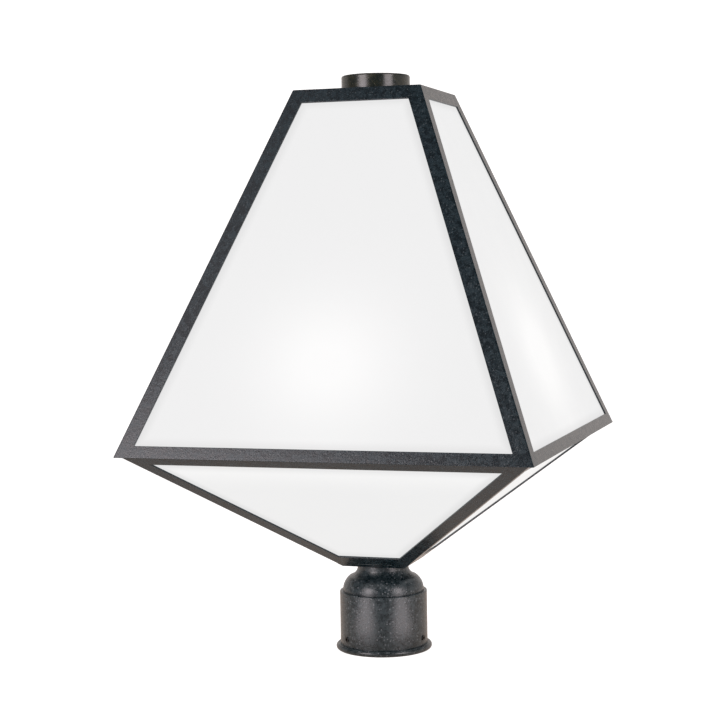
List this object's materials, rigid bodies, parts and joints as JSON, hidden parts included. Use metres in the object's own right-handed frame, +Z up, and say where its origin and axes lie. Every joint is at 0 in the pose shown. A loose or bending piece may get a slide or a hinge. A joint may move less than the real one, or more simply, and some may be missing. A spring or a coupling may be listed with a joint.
{
  "type": "post top lantern",
  "caption": "Tapered square lantern in dark metal bars with opal glass, on a round fitter that slips over a post, with a lift-off upper cage held by a screw-down knob.",
  "frame": {"origin": "on the lantern's axis, in the plane of the fitter's foot", "axes": "+Z up along the post, -Y to the front face, +X to the right face"},
  "size_m": [0.366, 0.366, 0.525],
  "materials": {
    "bronze_paint": "satin dark bronze paint",
    "bronze_cast": "satin dark bronze paint on a casting",
    "opal_glass": "white opal glass",
    "spring_steel": "bare spring steel",
    "zinc_steel": "zinc plated",
    "black_screw": "black oxide",
    "seal_rubber": "matt black",
    "bushing_plastic": "matt black",
    "white_enamel": "gloss white enamel",
    "lampholder_plastic": "cream",
    "contact_brass": "bright",
    "cap_brass": "bright",
    "lamp_glass": "frosted"
  },
  "bodies": {
    "base": {"lower_top_rail_front": "bronze_paint", "lower_glass_front": "opal_glass", "lower_top_rail_right": "bronze_paint", "lower_glass_right": "opal_glass", "lower_top_rail_back": "bronze_paint", "lower_glass_back": "opal_glass", "lower_top_rail_left": "bronze_paint", "lower_glass_left": "opal_glass", "lower_corner_bar_front_right": "bronze_paint", "lower_corner_bar_back_right": "bronze_paint", "lower_corner_bar_back_left": "bronze_paint", "lower_corner_bar_front_left": "bronze_paint", "lower_bottom_rails": "bronze_paint", "base_plate": "bronze_paint", "post_fitter": "bronze_cast", "lower_glass_clips": "spring_steel", "centre_pipe": "zinc_steel", "lock_nuts": "zinc_steel", "neck_gasket": "seal_rubber", "pipe_bushing": "bushing_plastic", "wiring_cup": "white_enamel", "cluster_cover": "white_enamel", "lampholder_1": "lampholder_plastic", "lampholder_2": "lampholder_plastic", "lampholder_3": "lampholder_plastic", "lampholder_contacts": "contact_brass"},
    "upper_cage": {"top_rail_front": "bronze_paint", "top_rail_right": "bronze_paint", "top_rail_back": "bronze_paint", "top_rail_left": "bronze_paint", "rim_rail_front": "bronze_paint", "rim_rail_right": "bronze_paint", "rim_rail_back": "bronze_paint", "rim_rail_left": "bronze_paint", "upper_glass_front": "opal_glass", "upper_glass_right": "opal_glass", "upper_glass_back": "opal_glass", "upper_glass_left": "opal_glass", "upper_corner_bar_front_right": "bronze_paint", "upper_corner_bar_back_right": "bronze_paint", "upper_corner_bar_back_left": "bronze_paint", "upper_corner_bar_front_left": "bronze_paint", "upper_glass_clips": "spring_steel", "top_plate": "bronze_paint", "top_plate_screws": "bronze_paint"},
    "knob_seal": {"knob_seal": "seal_rubber"},
    "knob": {"knob": "bronze_cast"},
    "lamp_1": {"lamp_base_1": "cap_brass", "lamp_bulb_1": "lamp_glass"},
    "lamp_2": {"lamp_base_2": "cap_brass", "lamp_bulb_2": "lamp_glass"},
    "lamp_3": {"lamp_base_3": "cap_brass", "lamp_bulb_3": "lamp_glass"},
    "set_screw_1": {"set_screw_1": "black_screw"},
    "set_screw_2": {"set_screw_2": "black_screw"},
    "set_screw_3": {"set_screw_3": "black_screw"}
  },
  "joints": [
    {"name": "cage_lift", "type": "slide", "parent": "base", "child": "upper_cage", "axis": [0, 0, 1], "range_m": [0, 0.33]},
    {"name": "knob_rise", "type": "slide", "parent": "upper_cage", "child": "knob_seal", "axis": [0, 0, 1], "range_m": [0, 0.0096]},
    {"name": "knob_turn", "type": "hinge", "parent": "knob_seal", "child": "knob", "pos_m": [0, 0, 0.51], "axis": [0, 0, 1], "range_deg": [0, 3420]},
    {"name": "lamp_1_out", "type": "slide", "parent": "base", "child": "lamp_1", "axis": [0, 0, 1], "range_m": [0, 0.022]},
    {"name": "lamp_2_out", "type": "slide", "parent": "base", "child": "lamp_2", "axis": [0, 0, 1], "range_m": [0, 0.022]},
    {"name": "lamp_3_out", "type": "slide", "parent": "base", "child": "lamp_3", "axis": [0, 0, 1], "range_m": [0, 0.022]},
    {"name": "set_screw_1_in", "type": "slide", "parent": "base", "child": "set_screw_1", "axis": [-0.9848, 0.1736, 0], "range_m": [0, 0.0015]},
    {"name": "set_screw_2_in", "type": "slide", "parent": "base", "child": "set_screw_2", "axis": [0.342, -0.9397, 0], "range_m": [0, 0.0015]},
    {"name": "set_screw_3_in", "type": "slide", "parent": "base", "child": "set_screw_3", "axis": [0.6428, 0.766, 0], "range_m": [0, 0.0015]}
  ],
  "couplings": [
    {"joint": "knob_rise", "follows": "knob_turn", "m_per_rad": 0.00015915}
  ]
}
